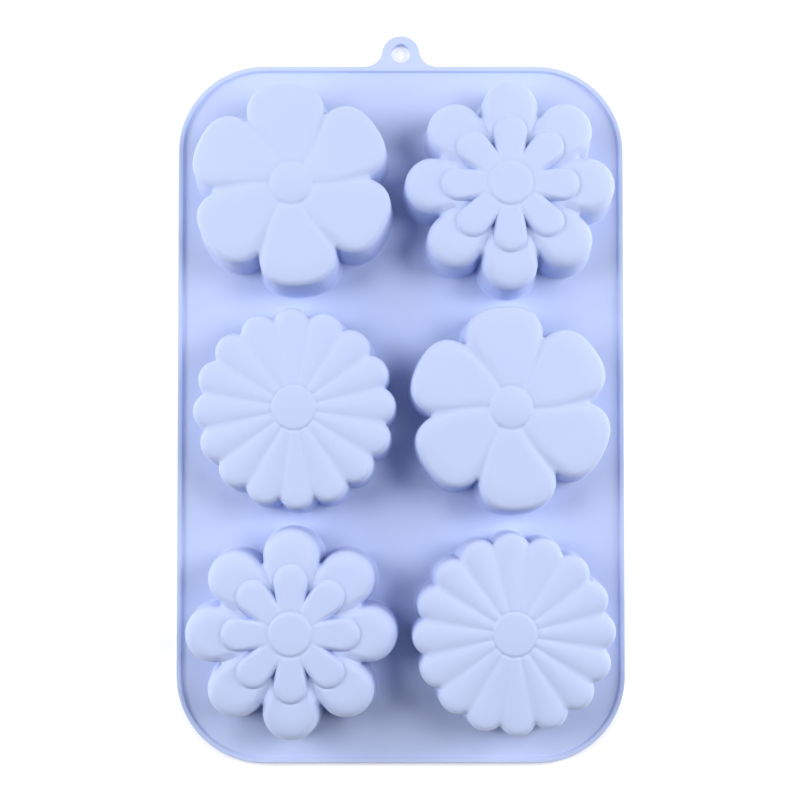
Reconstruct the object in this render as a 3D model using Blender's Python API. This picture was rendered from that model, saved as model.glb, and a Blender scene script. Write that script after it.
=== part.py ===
"""Silicone soap mould with six flower cups, lying on its flat face with the cups standing up.

z = 0 is the sheet's flat face, +Z runs up through the cups, +Y points at the hang tab, and the
origin is the middle of the flat face. Lengths are in metres. The mould is one silicone moulding;
each of its working zones is a separate solid here, a hair's breadth from its neighbours.
"""

import math

import bmesh
import bpy

NAME = "silicone_soap_mould"
GAP = 0.0003

# Sheet
SHEET_WIDTH = 0.175
SHEET_LENGTH = 0.2735
CORNER_RADIUS = 0.034
CORNER_SEGMENTS = 10
DECK_THICKNESS = 0.0022
RIM_WIDTH = 0.0033
RIM_HEIGHT = 0.0034
RIM_SLOPE = 0.0011

# Hang tab, measured from the sheet's rear edge
TAB_THICKNESS = 0.003
TAB_LIFT = 0.0002
TAB_HEAD_RADIUS = 0.0074
TAB_HEAD_OUT = 0.0047
TAB_HOLE_OUT = 0.0051
TAB_HOLE_RADIUS = 0.0037
TAB_FLARE_RADIUS = 0.00675
TAB_ROOT_ROUND = 0.0014
TAB_ROOT_SIDE = 0.0012
TAB_HINGE_OUT = TAB_ROOT_ROUND + GAP

# Cups
COLUMN = 0.0416
ROW = 0.0853
DAISY_ASIDE = 0.0012
CUP_HEIGHT = 0.0285
CUP_DRAFT = 0.0009
CUP_WALL = 0.0022
CUP_FLOOR = 0.0022
WALL_ROUND = 0.0014
STEP_DRAFT = 0.0002
OUTLINE_STEPS_FINE = 8

# Flowers: radii from the middle of the cup, heights above the flat face
PRIMROSE_REACH = 0.0390
PRIMROSE_NOTCH = 0.25
PRIMROSE_POWER = 3.6
PRIMROSE_HUB = 0.0078
PRIMROSE_PETAL_TOP = 0.0262
ROSETTE_REACH = 0.0401
ROSETTE_TIP = 0.0107
ROSETTE_TAPER = math.radians(2)
ROSETTE_PETAL_TOP = 0.0254
ROSETTE_INNER_REACH = 0.0261
ROSETTE_INNER_TIP = 0.0063
ROSETTE_INNER_TAPER = math.radians(3)
ROSETTE_INNER_TOP = 0.0272
ROSETTE_DISC = 0.0082
DAISY_REACH = 0.0383
DAISY_TIP = 0.0075
DAISY_DISC = 0.0085
DAISY_PETAL_TOP = 0.0262

SILICONE = (0.59, 0.68, 0.95, 1.0)


def petal_reach(angle, reach, tip, taper=0.0):
    """Radius of a petal with a round tip and sides that close by taper, angle from its middle."""
    middle = reach - tip
    if abs(angle) > math.atan2(tip * math.cos(taper), middle - tip * math.sin(taper)):
        side = tip - middle * math.sin(taper)
        return side / (math.cos(taper) * math.sin(abs(angle)) - math.sin(taper) * math.cos(angle))
    return middle * math.cos(angle) + math.sqrt(tip ** 2 - (middle * math.sin(angle)) ** 2)


def primrose_edge(angle):
    """Broad petals with full corners."""
    share = abs(angle) / math.radians(30)
    return PRIMROSE_REACH * (1 - PRIMROSE_NOTCH * share ** PRIMROSE_POWER)


def rosette_edge(angle):
    return petal_reach(angle, ROSETTE_REACH, ROSETTE_TIP, ROSETTE_TAPER)


def rosette_inner(angle):
    return petal_reach(angle, ROSETTE_INNER_REACH, ROSETTE_INNER_TIP, ROSETTE_INNER_TAPER)


def daisy_edge(angle):
    return petal_reach(angle, DAISY_REACH, DAISY_TIP)


# Each flower: petals, sides per petal, angle of a petal's middle, outline, outer top, raised steps
FLOWERS = {
    "primrose": {
        "petals": 6, "sides": 10, "turn": math.radians(95), "edge": primrose_edge,
        "top": PRIMROSE_PETAL_TOP, "steps": [(lambda angle: PRIMROSE_HUB, CUP_HEIGHT)],
    },
    "rosette": {
        "petals": 8, "sides": 8, "turn": math.radians(90), "edge": rosette_edge,
        "top": ROSETTE_PETAL_TOP,
        "steps": [(rosette_inner, ROSETTE_INNER_TOP), (lambda angle: ROSETTE_DISC, CUP_HEIGHT)],
    },
    "daisy": {
        "petals": 16, "sides": 6, "turn": math.radians(92), "edge": daisy_edge,
        "top": DAISY_PETAL_TOP, "steps": [(lambda angle: DAISY_DISC, CUP_HEIGHT)],
    },
}

# The cups' middles; the daisies stand a little to the right of their columns
CUPS = {
    "rear_left": (-COLUMN, ROW, "primrose"),
    "rear_right": (COLUMN, ROW, "rosette"),
    "middle_left": (-COLUMN + DAISY_ASIDE, 0, "daisy"),
    "middle_right": (COLUMN, 0, "primrose"),
    "front_left": (-COLUMN, -ROW, "rosette"),
    "front_right": (COLUMN + DAISY_ASIDE, -ROW, "daisy"),
}


def clear_scene():
    for thing in list(bpy.data.objects):
        bpy.data.objects.remove(thing, do_unlink=True)


def make_material(name):
    material = bpy.data.materials.new(name)
    material.use_nodes = True
    shader = material.node_tree.nodes["Principled BSDF"]
    shader.inputs["Base Color"].default_value = SILICONE
    shader.inputs["Roughness"].default_value = 0.6
    shader.inputs["Metallic"].default_value = 0.0
    return material


def add_object(name, data, location=(0, 0, 0), smooth_angle=None):
    """Put new data in the mould's collection with a material of its own."""
    thing = bpy.data.objects.new(name, data)
    bpy.data.collections[NAME].objects.link(thing)
    thing.location = location
    data.materials.append(make_material(name + "_silicone"))
    if smooth_angle:
        data.shade_smooth()
        data.set_sharp_from_angle(angle=smooth_angle)
    return thing


def mesh_from(name, bm):
    bmesh.ops.recalc_face_normals(bm, faces=bm.faces)
    mesh = bpy.data.meshes.new(name)
    bm.to_mesh(mesh)
    bm.free()
    return mesh


def flat_outline(name, outlines, thickness, rounding=0.0):
    """A plate with holes and rounded edges, as a mesh centred on z = 0, from outlines in the plane."""
    curve = bpy.data.curves.new(name, "CURVE")
    curve.dimensions = "2D"
    curve.fill_mode = "BOTH"
    curve.extrude = thickness / 2 - rounding
    curve.bevel_depth = rounding
    curve.bevel_resolution = 2
    curve.offset = -rounding
    for outline in outlines:
        spline = curve.splines.new("POLY")
        spline.points.add(len(outline) - 1)
        for point, (x, y) in zip(spline.points, outline):
            point.co = (x, y, 0, 1)
        spline.use_cyclic_u = True
    guide = bpy.data.objects.new(name + "_outline", curve)
    bpy.context.scene.collection.objects.link(guide)
    mesh = bpy.data.meshes.new_from_object(guide.evaluated_get(bpy.context.evaluated_depsgraph_get()))
    bpy.data.objects.remove(guide)
    bm = bmesh.new()
    bm.from_mesh(mesh)
    bpy.data.meshes.remove(mesh)
    bmesh.ops.remove_doubles(bm, verts=bm.verts, dist=0.00001)
    return bm


def arc(middle, radius, start, end, segments):
    """Points on an arc, angles in degrees."""
    points = []
    for step in range(segments + 1):
        angle = math.radians(start + (end - start) * step / segments)
        points.append((middle[0] + radius * math.cos(angle), middle[1] + radius * math.sin(angle)))
    return points


def sheet_outline(inset):
    """The sheet's rounded rectangle, inset all round."""
    x = SHEET_WIDTH / 2 - CORNER_RADIUS
    y = SHEET_LENGTH / 2 - CORNER_RADIUS
    corners = ((x, y, 0), (-x, y, 90), (-x, -y, 180), (x, -y, 270))
    points = []
    for middle_x, middle_y, start in corners:
        points += arc((middle_x, middle_y), CORNER_RADIUS - inset, start, start + 90, CORNER_SEGMENTS)
    return points


def flower_points(flower, edge, offset=0.0):
    """A flower outline moved outwards by offset, as points on evenly spaced rays.

    The moved outline is where a circle of that radius reaches as it rolls along the outline.
    """
    pitch = 2 * math.pi / flower["petals"]
    count = flower["petals"] * flower["sides"]
    fine = count * OUTLINE_STEPS_FINE
    outline = []
    for step in range(fine):
        angle = 2 * math.pi * step / fine
        radius = edge((angle + pitch / 2) % pitch - pitch / 2)
        outline.append((radius * math.cos(angle), radius * math.sin(angle)))
    points = []
    for step in range(count):
        angle = 2 * math.pi * step / count
        radius = edge((angle + pitch / 2) % pitch - pitch / 2)
        if offset:
            radius = rolled_radius(outline, angle, offset)
        turned = angle + flower["turn"]
        points.append((radius * math.cos(turned), radius * math.sin(turned)))
    return points


def rolled_radius(outline, angle, offset):
    ray = (math.cos(angle), math.sin(angle))
    reaches = []
    for x, y in outline:
        along = x * ray[0] + y * ray[1]
        across = y * ray[0] - x * ray[1]
        if along > 0 and abs(across) < abs(offset):
            reaches.append(along + math.copysign(math.sqrt(offset ** 2 - across ** 2), offset))
    return max(reaches) if offset > 0 else min(reaches)


def add_ring(bm, points, height):
    return [bm.verts.new((x, y, height)) for x, y in points]


def join_rings(bm, rings, closed):
    """Skin a stack of rings; closed joins the last to the first, otherwise both ends are capped."""
    pairs = list(zip(rings, rings[1:]))
    if closed:
        pairs.append((rings[-1], rings[0]))
    else:
        bm.faces.new(rings[0])
        bm.faces.new(rings[-1])
    for lower, upper in pairs:
        for index in range(len(lower)):
            following = (index + 1) % len(lower)
            bm.faces.new((lower[index], lower[following], upper[following], upper[index]))


def make_deck():
    outlines = [sheet_outline(RIM_WIDTH + GAP)]
    for x, y, kind in CUPS.values():
        flower = FLOWERS[kind]
        base = flower_points(flower, flower["edge"], CUP_DRAFT + GAP)
        outlines.append([(x + point_x, y + point_y) for point_x, point_y in base])
    bm = flat_outline("deck_web", outlines, DECK_THICKNESS)
    add_object("deck_web", mesh_from("deck_web", bm), (0, 0, DECK_THICKNESS / 2))


def make_rim():
    """The bead round the sheet, with a sloping inner edge down to the deck."""
    bm = flat_outline("rim_bead", [sheet_outline(0), sheet_outline(RIM_WIDTH)], RIM_HEIGHT)
    inner_top = []
    for edge in bm.edges:
        is_top = all(vert.co.z > RIM_HEIGHT / 2 - 0.00001 for vert in edge.verts)
        sides = [face for face in edge.link_faces if abs(face.normal.z) < 0.5]
        if is_top and any(face.normal.dot(face.calc_center_median()) < 0 for face in sides):
            inner_top.append(edge)
    bmesh.ops.bevel(bm, geom=inner_top, offset=RIM_SLOPE, segments=2, profile=0.5, affect="EDGES")
    add_object("rim_bead", mesh_from("rim_bead", bm), (0, 0, RIM_HEIGHT / 2), math.radians(30))


def tab_outline():
    """Round head, flared root; y is measured from the hinge line."""
    head = (0, TAB_HEAD_OUT - TAB_HINGE_OUT)
    flare_out = TAB_FLARE_RADIUS - TAB_HINGE_OUT
    reach = TAB_HEAD_RADIUS + TAB_FLARE_RADIUS
    flare_side = math.sqrt(reach ** 2 - (flare_out - head[1]) ** 2)
    meet = math.degrees(math.atan2(flare_out - head[1], flare_side))
    leave = math.degrees(math.asin((flare_out - TAB_ROOT_SIDE) / TAB_FLARE_RADIUS))
    root = TAB_ROOT_ROUND
    right = arc((flare_side, flare_out), TAB_FLARE_RADIUS, 180 + leave, 180 + meet, 6)
    top = arc(head, TAB_HEAD_RADIUS, meet, 180 - meet, 18)
    left = [(-x, y) for x, y in reversed(right)]
    corner = right[0][0]
    return [(corner, -root)] + right + top[1:-1] + left + [(-corner, -root)]


def make_tab():
    """The hang tab; its origin lies on the line where it bends, in the middle of its round root."""
    hinge = (0, SHEET_LENGTH / 2 + TAB_HINGE_OUT, TAB_LIFT + TAB_THICKNESS / 2)
    bm = flat_outline("hang_tab", [tab_outline()], TAB_THICKNESS, TAB_ROOT_ROUND)
    tab = add_object("hang_tab", mesh_from("hang_tab", bm), hinge, math.radians(30))
    cutter = bmesh.new()
    bmesh.ops.create_cone(
        cutter, cap_ends=True, segments=24, radius1=TAB_HOLE_RADIUS, radius2=TAB_HOLE_RADIUS,
        depth=2 * TAB_THICKNESS,
    )
    hole = bpy.data.objects.new("hang_hole_cutter", mesh_from("hang_hole_cutter", cutter))
    bpy.data.collections["cutters"].objects.link(hole)
    hole.location = (0, SHEET_LENGTH / 2 + TAB_HOLE_OUT, hinge[2])
    hole.display_type = "WIRE"
    hole.hide_render = True
    cut = tab.modifiers.new("hang_hole", "BOOLEAN")
    cut.object = hole
    cut.operation = "DIFFERENCE"


def make_wall(place, x, y, flower):
    """A cup's side: drafted inside and out, rounded over at the top."""
    edge = flower["edge"]
    top = flower["top"]
    bm = bmesh.new()
    rings = [
        add_ring(bm, flower_points(flower, edge, CUP_DRAFT), 0),
        add_ring(bm, flower_points(flower, edge, 0), top - WALL_ROUND),
        add_ring(bm, flower_points(flower, edge, -WALL_ROUND / 3), top - WALL_ROUND / 3),
        add_ring(bm, flower_points(flower, edge, -WALL_ROUND), top),
        add_ring(bm, flower_points(flower, edge, -CUP_WALL), top),
        add_ring(bm, flower_points(flower, edge, CUP_DRAFT - CUP_WALL), 0),
    ]
    join_rings(bm, rings, closed=True)
    name = "cup_wall_" + place
    add_object(name, mesh_from(name, bm), (x, y, 0), math.radians(35))


def make_floor(place, x, y, flower):
    """A cup's floor, stepped where the flower is, even in thickness; it fits inside the wall."""
    bm = bmesh.new()
    top = flower["top"]
    side = flower_points(flower, flower["edge"], -CUP_WALL - GAP)
    upper = [add_ring(bm, side, top)]
    lower = [add_ring(bm, side, top - CUP_FLOOR)]
    for edge, height in flower["steps"]:
        upper.append(add_ring(bm, flower_points(flower, edge, STEP_DRAFT), top))
        upper.append(add_ring(bm, flower_points(flower, edge), height))
        lower.append(add_ring(bm, flower_points(flower, edge, STEP_DRAFT - CUP_FLOOR), top - CUP_FLOOR))
        lower.append(add_ring(bm, flower_points(flower, edge, -CUP_FLOOR), height - CUP_FLOOR))
        top = height
    join_rings(bm, lower[::-1] + upper, closed=False)
    name = "cup_floor_" + place
    add_object(name, mesh_from(name, bm), (x, y, 0), math.radians(35))


def build():
    clear_scene()
    for name in (NAME, "cutters"):
        bpy.context.scene.collection.children.link(bpy.data.collections.new(name))
    make_deck()
    make_rim()
    make_tab()
    for place, (x, y, kind) in CUPS.items():
        make_wall(place, x, y, FLOWERS[kind])
        make_floor(place, x, y, FLOWERS[kind])


build()
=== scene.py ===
"""Silicone soap mould: six flower cups standing on a rimmed sheet with a hang tab."""

import math

import bpy
from mathutils import Matrix, Vector


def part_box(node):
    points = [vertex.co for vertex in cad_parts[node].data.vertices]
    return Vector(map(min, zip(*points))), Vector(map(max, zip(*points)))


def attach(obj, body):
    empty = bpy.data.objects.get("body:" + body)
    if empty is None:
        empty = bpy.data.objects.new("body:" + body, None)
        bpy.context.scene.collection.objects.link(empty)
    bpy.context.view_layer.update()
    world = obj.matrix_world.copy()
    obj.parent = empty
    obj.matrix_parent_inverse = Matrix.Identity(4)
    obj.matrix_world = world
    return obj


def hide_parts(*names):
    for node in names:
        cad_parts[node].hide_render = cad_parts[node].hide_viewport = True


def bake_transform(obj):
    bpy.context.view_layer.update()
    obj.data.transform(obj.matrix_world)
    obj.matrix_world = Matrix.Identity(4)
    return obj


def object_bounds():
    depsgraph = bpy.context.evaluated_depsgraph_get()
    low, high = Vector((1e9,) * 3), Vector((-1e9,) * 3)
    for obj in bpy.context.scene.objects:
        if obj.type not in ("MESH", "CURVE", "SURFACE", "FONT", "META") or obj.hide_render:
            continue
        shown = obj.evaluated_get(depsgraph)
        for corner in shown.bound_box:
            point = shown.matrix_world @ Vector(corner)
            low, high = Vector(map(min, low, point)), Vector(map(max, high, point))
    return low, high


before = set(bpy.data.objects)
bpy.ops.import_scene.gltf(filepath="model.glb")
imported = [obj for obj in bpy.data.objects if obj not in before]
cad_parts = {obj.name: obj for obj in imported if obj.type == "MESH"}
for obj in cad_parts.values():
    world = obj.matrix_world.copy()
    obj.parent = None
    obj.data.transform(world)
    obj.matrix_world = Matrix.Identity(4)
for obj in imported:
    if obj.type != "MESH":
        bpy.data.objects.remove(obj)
cad_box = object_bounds()

MM = 0.001

# The sheet, read from the frame
RIM_LOW, RIM_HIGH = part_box("rim_bead")
DECK_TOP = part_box("deck_web")[1].z
SHEET_HALF_WIDTH = RIM_HIGH.x
SHEET_HALF_LENGTH = RIM_HIGH.y
RIM_TOP = RIM_HIGH.z
CUP_TOP = cad_box[1].z
CORNER_RADIUS = 34 * MM
CORNER_SEGMENTS = 28
EDGE_ROUND = 0.4 * MM
EDGE_STEPS = 4
RIM_FLAT = 1.3 * MM
RIM_FIRST_LOOP = 0.15 * MM
RIM_SLOPE = 0.9 * MM
SLOPE_LOOPS = 8
FLAT_MARGIN = 0.25 * MM

# The hang tab, measured from the sheet's rear edge
TAB_HEAD_RADIUS = 7.4 * MM
TAB_HEAD_OUT = 4.7 * MM
TAB_HOLE_OUT = 5.1 * MM
TAB_HOLE_RADIUS = 3.7 * MM
TAB_FLARE_RADIUS = 6.75 * MM
TAB_ROOT_IN = 1.1 * MM
TAB_LIFT = 0.015 * MM

# The skin of a cup
SKIN = 2.2 * MM
CUP_DRAFT = 0.9 * MM
FOOT_ROUND = 0.8 * MM
LIP_ROUND = 0.4 * MM
CAVITY_ROUND = 1.0 * MM
NOTCH_ROUND = 0.6 * MM

# How finely an outline is sampled, and how near points are welded
OUTLINE_SAMPLES = 400
NOTCH_SEARCHES = 30
NOTCH_STEPS = 8
TIP_CROWDING = 1.35
CUP_WELD = 0.003 * MM
CUTTER_WELD = 0.002 * MM
TAB_WELD = 0.005 * MM

SILICONE_BLUE = "#BCC9ED"
SILICONE_BLUE_DEEP = "#B8C5EB"
FLOOR_WHITE = "#FBFBFB"


# --- Flower outlines: radius from the middle of the cup, angle from the middle of a petal ---

PRIMROSE_REACH = 39.0 * MM
PRIMROSE_NOTCH = 0.25
PRIMROSE_POWER = 3.6
ROSETTE_REACH = 40.1 * MM
ROSETTE_TIP = 10.7 * MM
ROSETTE_INNER_REACH = 26.1 * MM
ROSETTE_INNER_TIP = 6.3 * MM
DAISY_REACH = 38.3 * MM
DAISY_TIP = 7.5 * MM
DAISY_HALF_PETAL = math.radians(11.25)


def petal_reach(angle, reach, tip, taper=0.0):
    """A petal with a round tip and sides that close by taper."""
    middle = reach - tip
    if abs(angle) > math.atan2(tip * math.cos(taper), middle - tip * math.sin(taper)):
        side = tip - middle * math.sin(taper)
        return side / (math.cos(taper) * math.sin(abs(angle)) - math.sin(taper) * math.cos(angle))
    return middle * math.cos(angle) + math.sqrt(tip ** 2 - (middle * math.sin(angle)) ** 2)


def primrose_edge(angle):
    """Broad petals with full corners."""
    return PRIMROSE_REACH * (1 - PRIMROSE_NOTCH * (abs(angle) / math.radians(30)) ** PRIMROSE_POWER)


def rosette_edge(angle):
    return petal_reach(angle, ROSETTE_REACH, ROSETTE_TIP, math.radians(2))


def rosette_inner(angle):
    return petal_reach(angle, ROSETTE_INNER_REACH, ROSETTE_INNER_TIP, math.radians(3))


def daisy_edge(angle):
    return petal_reach(angle, DAISY_REACH, DAISY_TIP)


# --- Relief: height of a cup's outer face, from a point's radius, angle and way to the crease ---

def fade(value, start, end):
    """Smooth step from 0 at start to 1 at end."""
    share = min(1.0, max(0.0, (value - start) / (end - start)))
    return share * share * (3 - 2 * share)


def inside_edge(edge, radius, angle):
    """Distance of a plan point inside an outline, measured square to it."""
    reach = edge(angle)
    nudge = 0.01
    slope = (edge(angle + nudge) - edge(angle - nudge)) / (2 * nudge * reach)
    return (reach - radius) / math.sqrt(1 + slope ** 2)


def falloff(distance, depth, width, power=2.0):
    """Deepest at distance 0, level from width onwards."""
    return depth * max(0.0, 1 - max(0.0, distance) / width) ** power


def crease(across, depth, width, power=2.0, softness=0.25 * MM):
    """A groove with a rounded bottom where two petals meet."""
    return falloff(math.hypot(across, softness) - softness, depth, width, power)


def rounded_step(inside, height, width):
    """Rise over the edge of a raised form, like a quarter circle from its foot."""
    share = min(1.0, max(0.0, inside / width))
    return height * math.sqrt(1 - (1 - share) ** 2)


def ring_groove(radius, middle, depth, width):
    return depth * math.exp(-((radius - middle) / width) ** 2)


def primrose_relief(radius, angle, across):
    out = radius / PRIMROSE_REACH
    height = CUP_TOP - (0.9 + 0.5 * out ** 2) * MM
    height -= falloff(inside_edge(primrose_edge, radius, angle), 0.9 * MM, 8 * MM)
    height -= crease(across, (0.35 + 0.7 * out) * MM, (2.2 + 3.2 * out) * MM)
    hub = CUP_TOP - 0.05 * MM - 0.9 * MM * (radius / (8.1 * MM)) ** 2
    height += (hub - height) * (1 - fade(radius, 7.0 * MM, 8.9 * MM))
    return height - ring_groove(radius, 8.3 * MM, 0.25 * MM, 0.8 * MM)


def daisy_relief(radius, angle, across):
    out = radius / DAISY_REACH
    half = radius * math.sin(DAISY_HALF_PETAL) + 0.1 * MM
    height = CUP_TOP - (0.6 + 0.9 * out) * MM
    height -= falloff(inside_edge(daisy_edge, radius, angle), 0.7 * MM, 4 * MM)
    height -= crease(across, 1.05 * MM * out ** 0.9, half, 2.2, 0.2 * MM)
    disc = CUP_TOP - 0.45 * MM - 0.2 * MM * (radius / (8.5 * MM)) ** 2
    height += (disc - height) * (1 - fade(radius, 8.0 * MM, 8.8 * MM))
    return height - ring_groove(radius, 8.45 * MM, 0.3 * MM, 0.55 * MM)


def rosette_relief(radius, angle, across):
    out = radius / ROSETTE_REACH
    inside = inside_edge(rosette_inner, radius, angle)
    outer = CUP_TOP - (2.5 + 0.4 * out ** 2) * MM
    dome = 0.6 * MM + 1.0 * MM * fade(radius, 24 * MM, 35 * MM)
    outer -= falloff(inside_edge(rosette_edge, radius, angle), dome, 8 * MM)
    outer -= crease(across, 1.2 * MM, 3.8 * MM) + falloff(-inside, 0.35 * MM, 1.6 * MM)
    outer -= ring_groove(radius, 16 * MM, 1.0 * MM, 2.2 * MM) * falloff(across, 1, 1.8 * MM)
    inner = CUP_TOP - (0.8 + 0.5 * (radius / ROSETTE_INNER_REACH) ** 2) * MM
    inner -= falloff(inside, 0.5 * MM, 4 * MM)
    inner -= crease(across, 0.6 * MM, 2.8 * MM) * fade(radius, 10 * MM, 17 * MM)
    height = outer + rounded_step(inside, 1.0, 1.7 * MM) * (inner - outer)
    disc = CUP_TOP - 0.25 * MM - 0.15 * MM * (radius / (8.2 * MM)) ** 2
    height += (disc - height) * (1 - fade(radius, 7.5 * MM, 8.8 * MM))
    return height - ring_groove(radius, 8.35 * MM, 0.3 * MM, 0.7 * MM)


# hub is the radius of the middle; contour is a raised form that the rows of faces follow
FLOWERS = {
    "primrose": {
        "petals": 6, "half_columns": 22, "turn": math.radians(95), "swirl": math.radians(-6.5),
        "edge": primrose_edge, "relief": primrose_relief, "hub": 8.0 * MM, "contour": None,
        "shoulder": 2.2 * MM,
    },
    "rosette": {
        "petals": 8, "half_columns": 22, "turn": math.radians(90), "swirl": 0.0,
        "edge": rosette_edge, "relief": rosette_relief, "hub": 8.2 * MM,
        "contour": rosette_inner, "shoulder": 2.8 * MM,
    },
    "daisy": {
        "petals": 16, "half_columns": 10, "turn": math.radians(92), "swirl": 0.0,
        "edge": daisy_edge, "relief": daisy_relief, "hub": 8.4 * MM, "contour": None,
        "shoulder": 2.1 * MM,
    },
}

CUPS = {
    "rear_left": "primrose", "rear_right": "rosette", "middle_left": "daisy",
    "middle_right": "primrose", "front_left": "rosette", "front_right": "daisy",
}


# --- Petal geometry, in the petal's own frame with its middle along +X ---

def on_circle(radius, angle):
    return Vector((radius * math.cos(angle), radius * math.sin(angle)))


def spaced(line, shares):
    """Points at shares of a polyline's length."""
    lengths = [0.0]
    for start, end in zip(line, line[1:]):
        lengths.append(lengths[-1] + (end - start).length)
    points = []
    index = 0
    for share in shares:
        target = share * lengths[-1]
        while index < len(line) - 2 and lengths[index + 1] < target:
            index += 1
        span = lengths[index + 1] - lengths[index]
        points.append(line[index].lerp(line[index + 1], (target - lengths[index]) / span))
    return points


def petal_outline(flower):
    """A petal's outline from notch to notch; each notch is rounded by a small rolling circle."""
    half = math.pi / flower["petals"]
    steps = range(OUTLINE_SAMPLES + 1)
    sharp = []
    for step in steps:
        angle = half * step / OUTLINE_SAMPLES
        sharp.append(on_circle(flower["edge"](angle), angle))
    ray = on_circle(1.0, half)
    near = sharp[-1].length
    far = near + 12 * NOTCH_ROUND
    for _ in range(NOTCH_SEARCHES):
        trial = (near + far) / 2
        if min((point - ray * trial).length for point in sharp) < NOTCH_ROUND:
            near = trial
        else:
            far = trial
    middle = ray * far
    touch = min(steps, key=lambda index: (sharp[index] - middle).length)
    line = sharp[:touch + 1]
    start = sharp[touch] - middle
    end = -ray * NOTCH_ROUND
    for step in range(1, NOTCH_STEPS + 1):
        share = step / NOTCH_STEPS
        bend = start.lerp(end, share).normalized()
        line.append(middle + bend * (start.length + (NOTCH_ROUND - start.length) * share))
    count = flower["half_columns"]
    side = spaced(line, [1 - (1 - step / count) ** TIP_CROWDING for step in range(count + 1)])
    mirrored = [Vector((point.x, -point.y)) for point in reversed(side)]
    return mirrored + side[1:]


def outward_normals(outline, half):
    normals = [on_circle(1.0, -half)]
    for before, after in zip(outline, outline[2:]):
        along = after - before
        normals.append(Vector((along.y, -along.x)).normalized())
    return normals + [on_circle(1.0, half)]


def moved_outline(outline, normals, half, distance):
    """The outline moved outwards by distance, cut off where it meets the next petal's."""
    moved = [point + normal * distance for point, normal in zip(outline, normals)]
    if distance <= NOTCH_ROUND:
        return moved
    middle = len(moved) // 2
    past_notch = []
    reaches = []
    for order in (range(middle, len(moved)), range(middle, -1, -1)):
        angles = [abs(math.atan2(moved[index].y, moved[index].x)) for index in order]
        first = next(step for step, angle in enumerate(angles) if angle > half or step == middle)
        share = (half - angles[first - 1]) / (angles[first] - angles[first - 1])
        near, far = (moved[order[step]].length for step in (first - 1, first))
        reaches.append(near + (far - near) * min(1.0, share))
        past_notch += order[first:]
    for index in past_notch:
        moved[index] = on_circle(sum(reaches) / 2, half if index > middle else -half)
    return moved


def height_at(flower, point):
    """Relief height over a plan point in the petal's frame."""
    half = math.pi / flower["petals"]
    radius = point.length
    angle = max(-half, min(half, math.atan2(point.y, point.x)))
    return flower["relief"](radius, angle, radius * math.sin(half - abs(angle)))


def quarter(steps):
    return [math.pi / 2 * step / steps for step in range(steps + 1)]


def draped(flower, points, drop):
    """Plan points laid on the relief, or by drop below it."""
    return [(point, height_at(flower, point) - drop) for point in points]


def level(points, height):
    return [(point, height) for point in points]


def petal_rows(flower):
    """Rows of (plan point, height) from the outer pole out to the flange and back under the skin."""
    half = math.pi / flower["petals"]
    outline = petal_outline(flower)
    normals = outward_normals(outline, half)

    def moved(distance):
        return moved_outline(outline, normals, half, distance)

    return outer_rows(flower, moved)[::-1] + inner_rows(flower, moved)


def outer_rows(flower, moved):
    """From the flange up the foot fillet, the drafted wall and the shoulder to the outer pole."""
    shoulder = flower["shoulder"]
    rows = [level(moved(CUP_DRAFT + FOOT_ROUND + FLAT_MARGIN), DECK_TOP)]
    for angle in quarter(4):
        distance = CUP_DRAFT + FOOT_ROUND * (1 - math.sin(angle))
        rows.append(level(moved(distance), DECK_TOP + FOOT_ROUND * (1 - math.cos(angle))))
    foot = DECK_TOP + FOOT_ROUND
    tops = [height_at(flower, point) - shoulder for point in moved(0)]
    for share in (0.35, 0.6, 0.8):
        heights = [foot + (top - foot) * share for top in tops]
        rows.append(list(zip(moved(CUP_DRAFT * (1 - share)), heights)))
    for angle in quarter(8):
        points = moved(-shoulder * (1 - math.cos(angle)))
        rows.append(draped(flower, points, shoulder * (1 - math.sin(angle))))
    top_rows = floor_rows(flower, [point for point, _ in rows[-1]])
    return rows + [draped(flower, points, 0) for points in top_rows]


def inner_rows(flower, moved):
    """From the flat face round the lip and up the cavity to the inner pole."""
    rows = [level(moved(CUP_DRAFT + FOOT_ROUND + FLAT_MARGIN), 0.0)]
    for angle in quarter(3):
        distance = CUP_DRAFT - SKIN + LIP_ROUND * (1 - math.sin(angle))
        rows.append(level(moved(distance), LIP_ROUND * (1 - math.cos(angle))))
    tops = [height_at(flower, point) - SKIN - CAVITY_ROUND for point in moved(-SKIN)]
    for share in (0.3, 0.65):
        heights = [LIP_ROUND + (top - LIP_ROUND) * share for top in tops]
        rows.append(list(zip(moved(CUP_DRAFT * (1 - share) - SKIN), heights)))
    for angle in quarter(4):
        points = moved(-SKIN - CAVITY_ROUND * (1 - math.cos(angle)))
        rows.append(draped(flower, points, SKIN + CAVITY_ROUND * (1 - math.sin(angle))))
    low_rows = floor_rows(flower, [point for point, _ in rows[-1]])
    return rows + [draped(flower, points, SKIN) for points in low_rows]


# Rings of the hub, as shares of its radius
HUB_RINGS = (1.2, 1.14, 1.09, 1.05, 1.01, 0.97, 0.93, 0.88, 0.8, 0.6, 0.35, 0.15, 0)
# Rows of faces: from the rim to a raised contour, over its step, from it to the hub, and without one
ROWS_TO_CONTOUR = 10
ROWS_OVER_STEP = 8
ROWS_TO_HUB = 14
ROWS_PLAIN = 16


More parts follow.
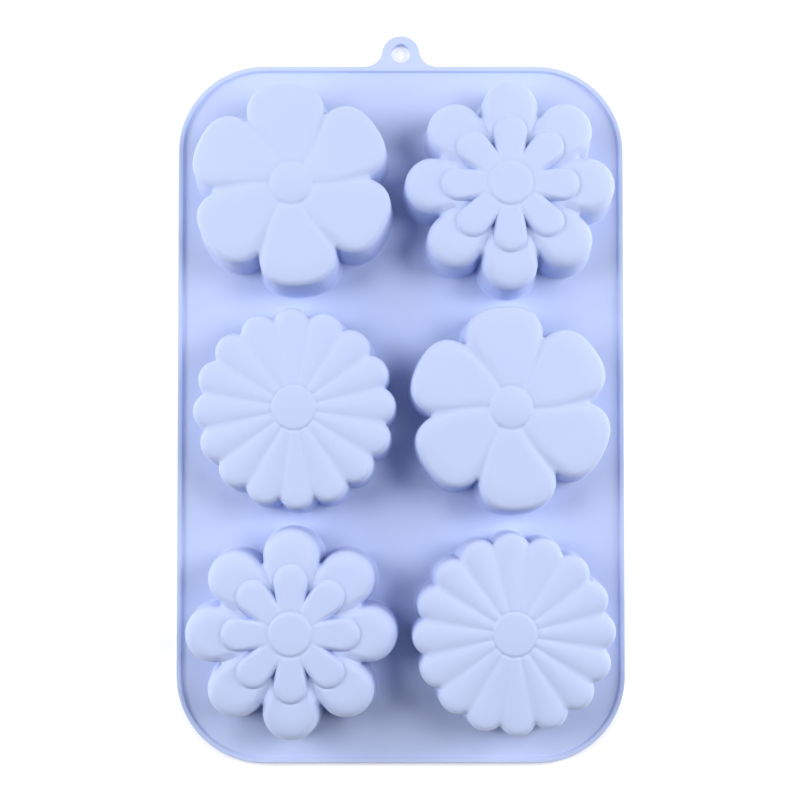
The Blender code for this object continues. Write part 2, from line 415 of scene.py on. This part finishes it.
def floor_rows(flower, rim):
    """Plan rows from the rim of the floor to the hub, following the raised contour on the way."""
    count = len(rim)
    half = math.pi / flower["petals"]
    hub_points = []
    for index, point in enumerate(rim):
        even = half * (2 * index / (count - 1) - 1)
        own = math.atan2(point.y, point.x)
        hub_points.append(on_circle(1.0, 0.5 * even + 0.5 * own))
    rings = [flower["hub"] * size for size in HUB_RINGS]
    stations = [[spoke * rings[0] for spoke in hub_points]]
    counts = [ROWS_PLAIN]
    if flower["contour"]:
        stations = contour_stations(flower, rim, hub_points) + stations
        counts = [ROWS_TO_CONTOUR, ROWS_OVER_STEP, ROWS_TO_HUB]
    rows = []
    start = rim
    for station, count in zip(stations, counts):
        for step in range(1, count + 1):
            rows.append([a.lerp(b, step / count) for a, b in zip(start, station)])
        start = station
    return rows + [[spoke * ring for spoke in hub_points] for ring in rings[1:]]


def contour_stations(flower, rim, hub_points):
    """A row just outside the foot of the raised contour and a row inside its top."""
    outside, inside = [], []
    for point, spoke in zip(rim, hub_points):
        angle = 0.5 * math.atan2(point.y, point.x) + 0.5 * math.atan2(spoke.y, spoke.x)
        edge = flower["contour"](angle)
        outside.append(on_circle(min(edge + 0.9 * MM, point.length - 0.4 * MM), angle))
        inside.append(on_circle(edge - 1.6 * MM, angle))
    return [outside, inside]


def swirl_angle(flower, radius):
    """The creases lean over on their way to the hub."""
    return flower["swirl"] * (1 - fade(radius, 8 * MM, 31 * MM))


def model_cup(kind, flower):
    """One petal is shaped from a grid, spun round the middle and welded into a closed skin."""
    rows = petal_rows(flower)
    columns = len(rows[0]) - 1
    bpy.ops.object.select_all(action="DESELECT")
    bpy.ops.mesh.primitive_grid_add(size=1, x_subdivisions=columns, y_subdivisions=len(rows) - 1)
    cup = bpy.context.object
    cup.name = kind + "_cup"
    for vertex in cup.data.vertices:
        column = round((vertex.co.x + 0.5) * columns)
        point, height = rows[round((vertex.co.y + 0.5) * (len(rows) - 1))][column]
        angle = math.atan2(point.y, point.x) + flower["turn"] + swirl_angle(flower, point.length)
        vertex.co = (*on_circle(point.length, angle), height)
    others = flower["petals"] - 1
    bpy.ops.object.mode_set(mode="EDIT")
    bpy.ops.mesh.select_all(action="SELECT")
    bpy.ops.mesh.spin(
        steps=others, angle=2 * math.pi * others / flower["petals"], dupli=True,
        center=(0, 0, 0), axis=(0, 0, 1),
    )
    bpy.ops.mesh.select_all(action="SELECT")
    bpy.ops.mesh.remove_doubles(threshold=CUP_WELD)
    bpy.ops.mesh.normals_make_consistent(inside=False)
    bpy.ops.object.mode_set(mode="OBJECT")
    bpy.ops.object.shade_smooth_by_angle(angle=math.radians(60))
    return cup


def place_copy(model, name, middle):
    """A copy with its own mesh, set down at its place."""
    select_only(model)
    bpy.ops.object.duplicate()
    copy = bpy.context.object
    copy.name = name
    copy.location = middle
    bpy.ops.object.transform_apply(location=True, rotation=True, scale=True)
    return copy


# --- Tools for the pieces modelled by hand ---

def select_only(thing):
    bpy.ops.object.select_all(action="DESELECT")
    thing.select_set(True)
    bpy.context.view_layer.objects.active = thing


def select_faces(thing, test):
    """Select the faces whose middle and normal pass the test, and return to edit mode."""
    bpy.ops.object.mode_set(mode="EDIT")
    bpy.ops.mesh.select_all(action="DESELECT")
    bpy.ops.mesh.select_mode(type="FACE")
    bpy.ops.object.mode_set(mode="OBJECT")
    for face in thing.data.polygons:
        face.select = test(face.center, face.normal)
    bpy.ops.object.mode_set(mode="EDIT")


def inset_steps(steps):
    """Inset the selected face again and again: each step is (inwards, along its normal)."""
    for inwards, along in steps:
        bpy.ops.mesh.inset(thickness=inwards, depth=along, use_even_offset=True)


def round_steps(radius, segments):
    """Inset steps over a quarter-round edge."""
    angles = quarter(segments)
    steps = []
    for first, second in zip(angles, angles[1:]):
        steps.append((
            radius * (math.cos(first) - math.cos(second)),
            radius * (math.sin(second) - math.sin(first)),
        ))
    return steps


def slope_steps(width, drop, segments):
    """Inset steps down a slope that starts and ends level."""
    steps = []
    for index in range(segments):
        first, second = (fade(index + more, 0, segments) for more in (0, 1))
        steps.append((width / segments, -drop * (second - first)))
    return steps


# --- The sheet ---

def make_plate():
    """A plate whose four upright edges are rounded."""
    body_height = RIM_TOP - 2 * EDGE_ROUND
    bpy.ops.object.select_all(action="DESELECT")
    bpy.ops.mesh.primitive_cube_add(size=1, location=(0, 0, EDGE_ROUND + body_height / 2))
    plate = bpy.context.object
    plate.scale = (2 * SHEET_HALF_WIDTH, 2 * SHEET_HALF_LENGTH, body_height)
    bpy.ops.object.transform_apply(location=True, rotation=True, scale=True)
    bpy.ops.object.mode_set(mode="EDIT")
    bpy.ops.mesh.select_all(action="DESELECT")
    bpy.ops.mesh.select_mode(type="EDGE")
    bpy.ops.object.mode_set(mode="OBJECT")
    for edge in plate.data.edges:
        low, high = (plate.data.vertices[index].co for index in edge.vertices)
        edge.select = abs(low.z - high.z) > body_height / 2
    bpy.ops.object.mode_set(mode="EDIT")
    bpy.ops.mesh.bevel(offset=CORNER_RADIUS, segments=CORNER_SEGMENTS, affect="EDGES")
    bpy.ops.object.mode_set(mode="OBJECT")
    return plate


def make_sheet(openings):
    """A plate with a raised rim that slopes softly inwards, and six flower openings."""
    sheet = make_plate()
    sheet.name = "sheet_skin"
    select_faces(sheet, lambda middle, normal: normal.z > 0.9)
    inset_steps(round_steps(EDGE_ROUND, EDGE_STEPS))
    inset_steps([(RIM_FIRST_LOOP, 0), (RIM_FLAT - RIM_FIRST_LOOP, 0)])
    inset_steps(slope_steps(RIM_SLOPE, RIM_TOP - DECK_TOP, SLOPE_LOOPS))
    inset_steps([(FLAT_MARGIN, 0)])
    bpy.ops.object.mode_set(mode="OBJECT")
    select_faces(sheet, lambda middle, normal: normal.z < -0.9)
    inset_steps(round_steps(EDGE_ROUND, EDGE_STEPS))
    inset_steps([(FLAT_MARGIN, 0)])
    bpy.ops.object.mode_set(mode="OBJECT")
    for opening in openings:
        cut = sheet.modifiers.new("opening", "BOOLEAN")
        cut.object = opening
        cut.operation = "DIFFERENCE"
        select_only(sheet)
        bpy.ops.object.modifier_apply(modifier=cut.name)
        bpy.data.objects.remove(opening)
    bpy.ops.object.shade_smooth_by_angle(angle=math.radians(30))
    return sheet


def opening_cutter(name, flower, middle):
    """A prism with the outline that the cup's flange has."""
    half = math.pi / flower["petals"]
    outline = petal_outline(flower)
    edge = moved_outline(
        outline, outward_normals(outline, half), half, CUP_DRAFT + FOOT_ROUND + FLAT_MARGIN
    )
    points = []
    for petal in range(flower["petals"]):
        turn = flower["turn"] + 2 * math.pi * petal / flower["petals"]
        for point in edge[:-1]:
            flat = on_circle(point.length, math.atan2(point.y, point.x) + turn)
            if not points or (flat + middle.xy - points[-1]).length > CUTTER_WELD:
                points.append(flat + middle.xy)
    count = len(points)
    verts = []
    for height in (-5 * MM, 10 * MM):
        verts += [(point.x, point.y, height) for point in points]
    faces = [tuple(reversed(range(count))), tuple(range(count, 2 * count))]
    for index in range(count):
        following = (index + 1) % count
        faces.append((index, following, count + following, count + index))
    mesh = bpy.data.meshes.new(name)
    mesh.from_pydata(verts, [], faces)
    cutter = bpy.data.objects.new(name, mesh)
    bpy.context.scene.collection.objects.link(cutter)
    return cutter


# --- The hang tab ---

def arc_points(middle, radius, start, end, segments):
    angles = [math.radians(start + (end - start) * step / segments) for step in range(segments + 1)]
    return [middle + on_circle(radius, angle) for angle in angles]


def tab_outlines():
    """The outline of the tab, a round head whose sides flare into the rim, and that of its hole."""
    edge = SHEET_HALF_LENGTH
    reach = TAB_HEAD_RADIUS + TAB_FLARE_RADIUS
    rise = TAB_FLARE_RADIUS - TAB_HEAD_OUT
    flare_x = math.sqrt(reach ** 2 - rise ** 2)
    meet = math.degrees(math.atan2(rise, flare_x))
    flare_middle = Vector((flare_x, edge + TAB_FLARE_RADIUS))
    right = arc_points(flare_middle, TAB_FLARE_RADIUS, 270, 180 + meet, 14)
    top = arc_points(Vector((0, edge + TAB_HEAD_OUT)), TAB_HEAD_RADIUS, meet, 180 - meet, 40)
    left = [Vector((-point.x, point.y)) for point in reversed(right)]
    root = [Vector((side * flare_x, edge - TAB_ROOT_IN)) for side in (-1, 1)]
    hole = arc_points(Vector((0, edge + TAB_HOLE_OUT)), TAB_HOLE_RADIUS, 0, 352.5, 47)
    return root + right + top[1:-1] + left, hole


def make_tab():
    """A flat curve with rounded edges, turned into a mesh."""
    curve = bpy.data.curves.new("tab_outline", "CURVE")
    curve.dimensions = "2D"
    curve.fill_mode = "BOTH"
    curve.bevel_depth = EDGE_ROUND
    curve.bevel_resolution = 3
    curve.offset = -EDGE_ROUND
    curve.extrude = RIM_TOP / 2 - EDGE_ROUND
    for points in tab_outlines():
        spline = curve.splines.new("POLY")
        spline.points.add(len(points) - 1)
        for target, point in zip(spline.points, points):
            target.co = (point.x, point.y, 0, 1)
        spline.use_cyclic_u = True
    tab = bpy.data.objects.new("hang_tab_eye", curve)
    bpy.context.scene.collection.objects.link(tab)
    tab.location.z = RIM_TOP / 2 + TAB_LIFT
    select_only(tab)
    bpy.ops.object.convert(target="MESH")
    tab = bpy.context.object
    bpy.ops.object.transform_apply(location=True, rotation=True, scale=True)
    bpy.ops.object.mode_set(mode="EDIT")
    bpy.ops.mesh.select_all(action="SELECT")
    bpy.ops.mesh.remove_doubles(threshold=TAB_WELD)
    bpy.ops.mesh.normals_make_consistent(inside=False)
    bpy.ops.object.mode_set(mode="OBJECT")
    bpy.ops.object.shade_smooth_by_angle(angle=math.radians(35))
    return tab


# --- Materials ---

def linear(hex_colour):
    """An sRGB hex colour as linear RGBA."""
    values = [int(hex_colour[start:start + 2], 16) / 255 for start in (1, 3, 5)]
    lin = [v / 12.92 if v <= 0.04045 else ((v + 0.055) / 1.055) ** 2.4 for v in values]
    return (*lin, 1.0)


def add_node(tree, kind, settings=None, links=None):
    """Add a node; settings name inputs or properties, links name inputs and the sockets they take."""
    node = tree.nodes.new(kind)
    for key, value in (settings or {}).items():
        if key in node.inputs:
            node.inputs[key].default_value = value
        else:
            setattr(node, key, value)
    for key, socket in (links or {}).items():
        tree.links.new(socket, node.inputs[key])
    return node


def moulded_matte_silicone():
    """Pigmented silicone from a bead-blasted steel mould: satin, with a fine even grain.

    The grain is 0.3 mm, coarser than the real one so that it shows. The pigment drifts by a shade
    over a few centimetres.
    """
    material = bpy.data.materials.new("moulded_matte_silicone")
    material.use_nodes = True
    tree = material.node_tree
    shader = tree.nodes["Principled BSDF"]
    place = add_node(tree, "ShaderNodeTexCoord").outputs["Object"]
    drift = add_node(tree, "ShaderNodeTexNoise", {"Scale": 28.0, "Detail": 2.0}, {"Vector": place})
    colour = add_node(tree, "ShaderNodeMix", {"data_type": "RGBA"})
    tree.links.new(drift.outputs["Fac"], colour.inputs[0])
    colour.inputs[6].default_value = linear(SILICONE_BLUE_DEEP)
    colour.inputs[7].default_value = linear(SILICONE_BLUE)
    grain = add_node(tree, "ShaderNodeTexNoise", {"Scale": 3300.0, "Detail": 3.0}, {"Vector": place})
    satin = add_node(
        tree, "ShaderNodeMapRange",
        {"To Min": 0.52, "To Max": 0.64},
        {"Value": grain.outputs["Fac"]},
    )
    bump = add_node(
        tree, "ShaderNodeBump",
        {"Strength": 0.08, "Distance": 0.05 * MM},
        {"Height": grain.outputs["Fac"]},
    )
    tree.links.new(colour.outputs[2], shader.inputs["Base Color"])
    tree.links.new(satin.outputs["Result"], shader.inputs["Roughness"])
    tree.links.new(bump.outputs["Normal"], shader.inputs["Normal"])
    shader.inputs["IOR"].default_value = 1.41
    shader.inputs["Sheen Weight"].default_value = 0.08
    shader.inputs["Sheen Roughness"].default_value = 0.5
    return material


def opal_acrylic():
    """Opal acrylic with a faint light behind it, so that no grey shadow shows round the sheet."""
    material = bpy.data.materials.new("opal_acrylic")
    material.use_nodes = True
    shader = material.node_tree.nodes["Principled BSDF"]
    shader.inputs["Base Color"].default_value = linear(FLOOR_WHITE)
    shader.inputs["Roughness"].default_value = 0.9
    shader.inputs["Specular IOR Level"].default_value = 0.2
    shader.inputs["Emission Color"].default_value = linear(FLOOR_WHITE)
    shader.inputs["Emission Strength"].default_value = 0.2
    return material


# --- Stage ---

FLOOR_RADIUS = 0.75
FLOOR_GAP = 0.3 * MM
WORLD_LIGHT = 0.01
# Softboxes: name, place, (length, height), power in watts
SOFTBOXES = (
    ("left_low", (-0.95, 0.12, 0.26), (0.5, 0.35), 2.0),
    ("left_middle_rear", (-0.88, 0.45, 0.55), (0.5, 0.35), 2.7),
    ("left_middle", (-0.88, 0.0, 0.55), (0.5, 0.35), 2.9),
    ("left_high", (-0.6, 0.1, 0.9), (0.5, 0.35), 3.6),
    ("right_low", (0.95, 0.12, 0.26), (0.5, 0.35), 3.9),
    ("right_middle", (0.88, 0.25, 0.55), (0.5, 0.35), 2.7),
    ("right_high", (0.6, 0.12, 0.9), (0.5, 0.35), 4.9),
    ("rear", (0, 0.95, 0.35), (1.0, 0.4), 2.1),
    ("front", (0, -0.95, 0.45), (1.0, 0.35), 0.7),
)
CAMERA_LENS = 71.6
CAMERA_SHIFT_UP = 0.09
CAMERA_PLACE = Vector((-0.0018, -0.0430, 0.6257))
CAMERA_AIM = Vector((-0.0003, -0.0233, 0))


def make_floor():
    bpy.ops.object.select_all(action="DESELECT")
    bpy.ops.mesh.primitive_circle_add(
        vertices=96, radius=FLOOR_RADIUS, fill_type="NGON", location=(0, 0, -FLOOR_GAP)
    )
    floor = bpy.context.object
    floor.name = "floor"
    floor.data.materials.append(opal_acrylic())


def add_softbox(name, place, size, power):
    """A white area light aimed at the middle of the sheet."""
    data = bpy.data.lights.new(name, "AREA")
    data.shape = "RECTANGLE"
    data.size, data.size_y = size
    data.energy = power
    light = bpy.data.objects.new(name, data)
    bpy.context.scene.collection.objects.link(light)
    light.location = place
    light.rotation_euler = (-Vector(place)).to_track_quat("-Z", "Y").to_euler()


def make_lights():
    """Softboxes round the sheet, and a backdrop that looks white but gives hardly any light."""
    for name, place, size, power in SOFTBOXES:
        add_softbox(name, place, size, power)
    world = bpy.data.worlds.new("white_surround")
    world.use_nodes = True
    tree = world.node_tree
    seen = add_node(tree, "ShaderNodeLightPath").outputs["Is Camera Ray"]
    strength = add_node(
        tree, "ShaderNodeMapRange", {"To Min": WORLD_LIGHT, "To Max": 1.0}, {"Value": seen}
    )
    tree.nodes["Background"].inputs["Color"].default_value = (1, 1, 1, 1)
    tree.links.new(strength.outputs["Result"], tree.nodes["Background"].inputs["Strength"])
    bpy.context.scene.world = world
    bpy.context.scene.view_settings.view_transform = "Standard"


def make_camera():
    """Almost straight down from a little in front of the middle, as on a copy stand."""
    data = bpy.data.cameras.new("camera")
    data.sensor_width = 36
    data.lens = CAMERA_LENS
    data.shift_y = CAMERA_SHIFT_UP
    camera = bpy.data.objects.new("camera", data)
    bpy.context.scene.collection.objects.link(camera)
    camera.location = CAMERA_PLACE
    look = (CAMERA_PLACE - CAMERA_AIM).normalized()
    across = Vector((0, 1, 0)).cross(look).normalized()
    up = look.cross(across)
    camera.rotation_euler = Matrix((across, up, look)).transposed().to_euler()
    bpy.context.scene.camera = camera


# --- Put together ---

def press_in(cup, middle):
    """Each point is set out along X by its distance from the hub while the object's transform is
    baked into the mesh, and is then put back where it was.
    """
    points = [vertex.co.copy() for vertex in cup.data.vertices]
    for vertex, point in zip(cup.data.vertices, points):
        vertex.co = ((point - middle).xy.length, 0, point.z)
    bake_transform(cup)
    for vertex, point in zip(cup.data.vertices, points):
        vertex.co = point
    cup.data.update()


def build():
    silicone = moulded_matte_silicone()
    models = {kind: model_cup(kind, flower) for kind, flower in FLOWERS.items()}
    openings = []
    for place, kind in CUPS.items():
        flower = FLOWERS[kind]
        low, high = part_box("cup_floor_" + place)
        middle = (low + high) / 2
        middle.z = 0
        cup = place_copy(models[kind], "flower_cup_" + place, middle)
        cup.data.materials.append(silicone)
        press_in(cup, middle)
        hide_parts("cup_wall_" + place, "cup_floor_" + place)
        openings.append(opening_cutter("opening_" + place, flower, middle))
    for model in models.values():
        bpy.data.objects.remove(model)
    sheet = make_sheet(openings)
    sheet.data.materials.append(silicone)
    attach(sheet, "sheet")
    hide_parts("deck_web", "rim_bead")
    tab = make_tab()
    tab.data.materials.append(silicone)
    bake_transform(tab)
    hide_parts("hang_tab")


make_camera()
make_floor()
make_lights()
build()
